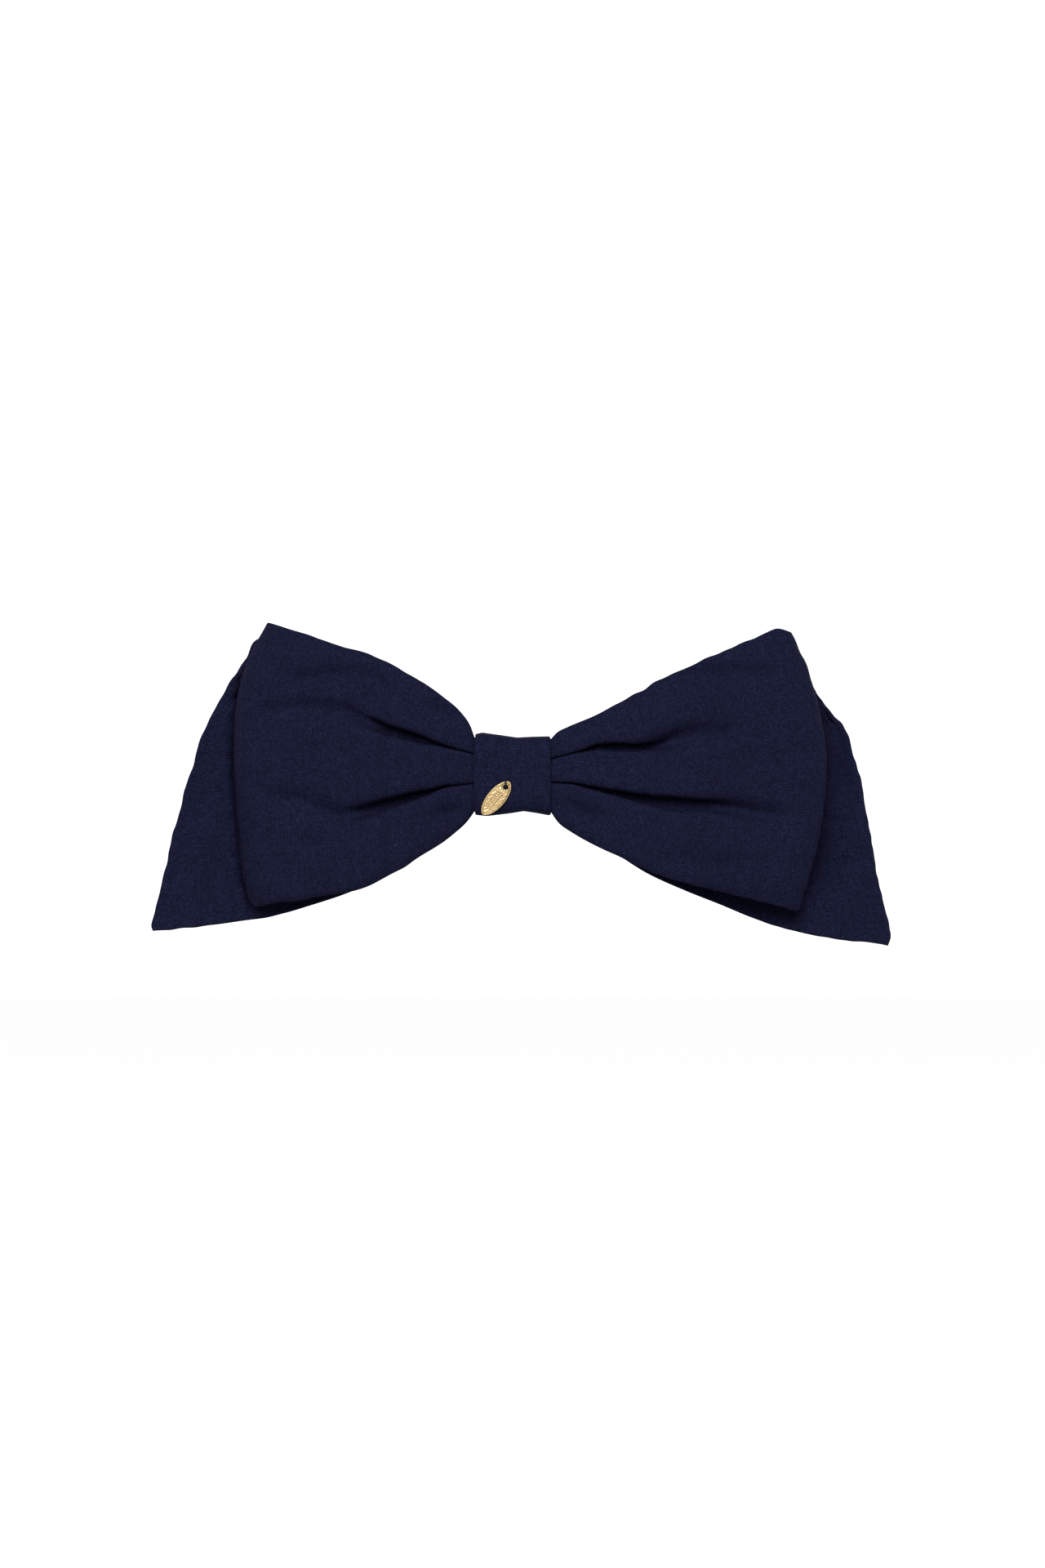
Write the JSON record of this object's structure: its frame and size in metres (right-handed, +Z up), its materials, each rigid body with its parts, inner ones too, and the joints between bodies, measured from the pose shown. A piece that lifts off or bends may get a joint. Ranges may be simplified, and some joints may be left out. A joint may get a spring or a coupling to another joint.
{
  "type": "fabric bow on a spring barrette",
  "caption": "Two-layer woven fabric bow: open loops over slanted flat tails, gathered under a wrapped centre band with a small hanging oval charm, sewn to a spring barrette that clasps hair.",
  "frame": {"origin": "centre of the gap that holds the hair, between the tension bar and the clasp arm, behind the middle of the bow", "axes": "+X along the bow towards its right side as seen from the front, +Y from the bow's front to the head, +Z up as worn"},
  "size_m": [0.1801, 0.0275, 0.0785],
  "materials": {
    "navy_fabric": "matt plain weave",
    "interlining": "matt non-woven",
    "navy_thread": "twisted thread",
    "gold_tone": "polished with fine dimples",
    "spring_steel": "nickel-plated spring steel"
  },
  "bodies": {
    "bow": {"front_bow_fabric": "navy_fabric", "front_bow_interlining": "interlining", "tail_fabric": "navy_fabric", "tail_interlining": "interlining", "centre_band": "navy_fabric", "band_interlining": "interlining", "front_gathering_thread": "navy_thread", "tail_gathering_thread": "navy_thread", "band_closing_stitches": "navy_thread", "charm_anchor_stitches": "navy_thread", "barrette_base": "spring_steel", "hinge_pin": "spring_steel", "catch_bracket": "spring_steel", "catch_rivet": "spring_steel", "hinge_end_stitches": "navy_thread", "catch_end_stitches": "navy_thread"},
    "arm": {"clasp_arm": "spring_steel"},
    "bar": {"tension_bar": "spring_steel"},
    "upper_tab": {"catch_tab_upper": "spring_steel"},
    "lower_tab": {"catch_tab_lower": "spring_steel"},
    "thread_loop": {"charm_thread_loop": "navy_thread"},
    "charm": {"charm_tag": "gold_tone"}
  },
  "joints": [
    {"name": "clasp_arm_hinge", "type": "hinge", "parent": "bow", "child": "arm", "pos_m": [-0.0375, 0.00441, 0], "axis": [0, 0, 1], "range_deg": [0, 75]},
    {"name": "tension_bar_press", "type": "slide", "parent": "bow", "child": "bar", "axis": [0, -1, 0], "range_m": [0, 0.0014], "stiffness_N_per_m": 800},
    {"name": "catch_tab_upper_squeeze", "type": "hinge", "parent": "bow", "child": "upper_tab", "pos_m": [0.0345, -0.004, 0.0014], "axis": [-1, 0, 0], "range_deg": [0, 5], "stiffness_Nm_per_rad": 0.17},
    {"name": "catch_tab_lower_squeeze", "type": "hinge", "parent": "bow", "child": "lower_tab", "pos_m": [0.0345, -0.004, -0.0014], "axis": [1, 0, 0], "range_deg": [0, 5], "stiffness_Nm_per_rad": 0.17},
    {"name": "charm_lift", "type": "hinge", "parent": "bow", "child": "thread_loop", "pos_m": [-0.0017, -0.01945, -0.00095], "axis": [-1, 0, 0], "range_deg": [0, 70]},
    {"name": "charm_swing", "type": "hinge", "parent": "thread_loop", "child": "charm", "pos_m": [-0.0017, -0.01985, -0.00295], "axis": [0, -1, 0], "range_deg": [-15, 95]}
  ],
  "couplings": [
    {"joint": "catch_tab_lower_squeeze", "follows": "catch_tab_upper_squeeze", "ratio": 1}
  ]
}
